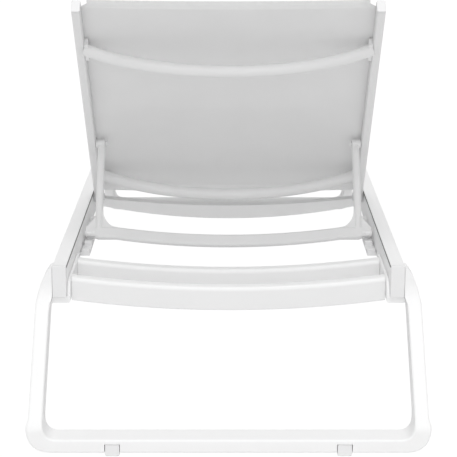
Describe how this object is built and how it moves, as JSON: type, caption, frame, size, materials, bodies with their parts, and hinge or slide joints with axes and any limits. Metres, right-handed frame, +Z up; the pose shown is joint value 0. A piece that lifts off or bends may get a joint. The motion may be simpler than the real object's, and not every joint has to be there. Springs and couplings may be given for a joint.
{
  "type": "sun lounger",
  "caption": "Reclining sun lounger: mesh sling seat and hinged sling backrest in straight side rails on outward-leaning loop legs, with a swinging prop that stands in notched racks.",
  "frame": {"origin": "centre of the lounger's footprint, on the floor", "axes": "+Z up, +Y from the head end towards the foot end, +X to the right when seen from behind the head end"},
  "size_m": [0.71, 1.948, 0.7593],
  "materials": {
    "white_frame": "satin white powder coat",
    "white_plastic": "white moulded plastic",
    "sling_mesh": "off-white open woven mesh",
    "spline_cord": "plain extruded cord",
    "pin_metal": "satin"
  },
  "bodies": {
    "frame": {"side_rail_left": "white_frame", "side_rail_right": "white_frame", "rail_end_cap_rear_left": "white_plastic", "rail_end_cap_rear_right": "white_plastic", "rail_end_cap_front_left": "white_plastic", "rail_end_cap_front_right": "white_plastic", "leg_frame_rear": "white_frame", "leg_frame_front": "white_frame", "rail_saddle_rear_left": "white_frame", "rail_saddle_rear_right": "white_frame", "rail_saddle_front_left": "white_frame", "rail_saddle_front_right": "white_frame", "rear_outer_crossbar": "white_frame", "rear_inner_crossbar": "white_frame", "seat_crossbar": "white_frame", "front_inner_crossbar": "white_frame", "front_outer_crossbar": "white_frame", "prop_rack_left": "white_plastic", "prop_rack_right": "white_plastic", "seat_sling": "sling_mesh", "seat_spline_left": "spline_cord", "seat_spline_right": "spline_cord", "hinge_pin_left": "pin_metal", "hinge_pin_right": "pin_metal", "hinge_washer_left": "white_plastic", "hinge_washer_right": "white_plastic", "glide_foot_rear_left": "white_plastic", "glide_foot_rear_right": "white_plastic", "glide_foot_front_left": "white_plastic", "glide_foot_front_right": "white_plastic"},
    "backrest": {"backrest_rail_left": "white_frame", "backrest_rail_right": "white_frame", "backrest_rail_cap_left": "white_plastic", "backrest_rail_cap_right": "white_plastic", "backrest_upper_bar": "white_frame", "backrest_lower_bar": "white_frame", "backrest_sling": "sling_mesh", "backrest_spline_left": "spline_cord", "backrest_spline_right": "spline_cord", "prop_pivot_pin_left": "pin_metal", "prop_pivot_pin_right": "pin_metal"},
    "prop": {"prop_frame": "white_frame"}
  },
  "joints": [
    {"name": "backrest_recline", "type": "hinge", "parent": "frame", "child": "backrest", "pos_m": [0, -0.1495, 0.2806], "axis": [-1, 0, 0], "range_deg": [-45.5, 10]},
    {"name": "prop_swing", "type": "hinge", "parent": "backrest", "child": "prop", "pos_m": [0, -0.3031, 0.4283], "axis": [1, 0, 0], "range_deg": [-93.4, 20.5]}
  ],
  "couplings": [
    {"joint": "prop_swing", "follows": "backrest_recline", "ratio": 2.0527}
  ]
}
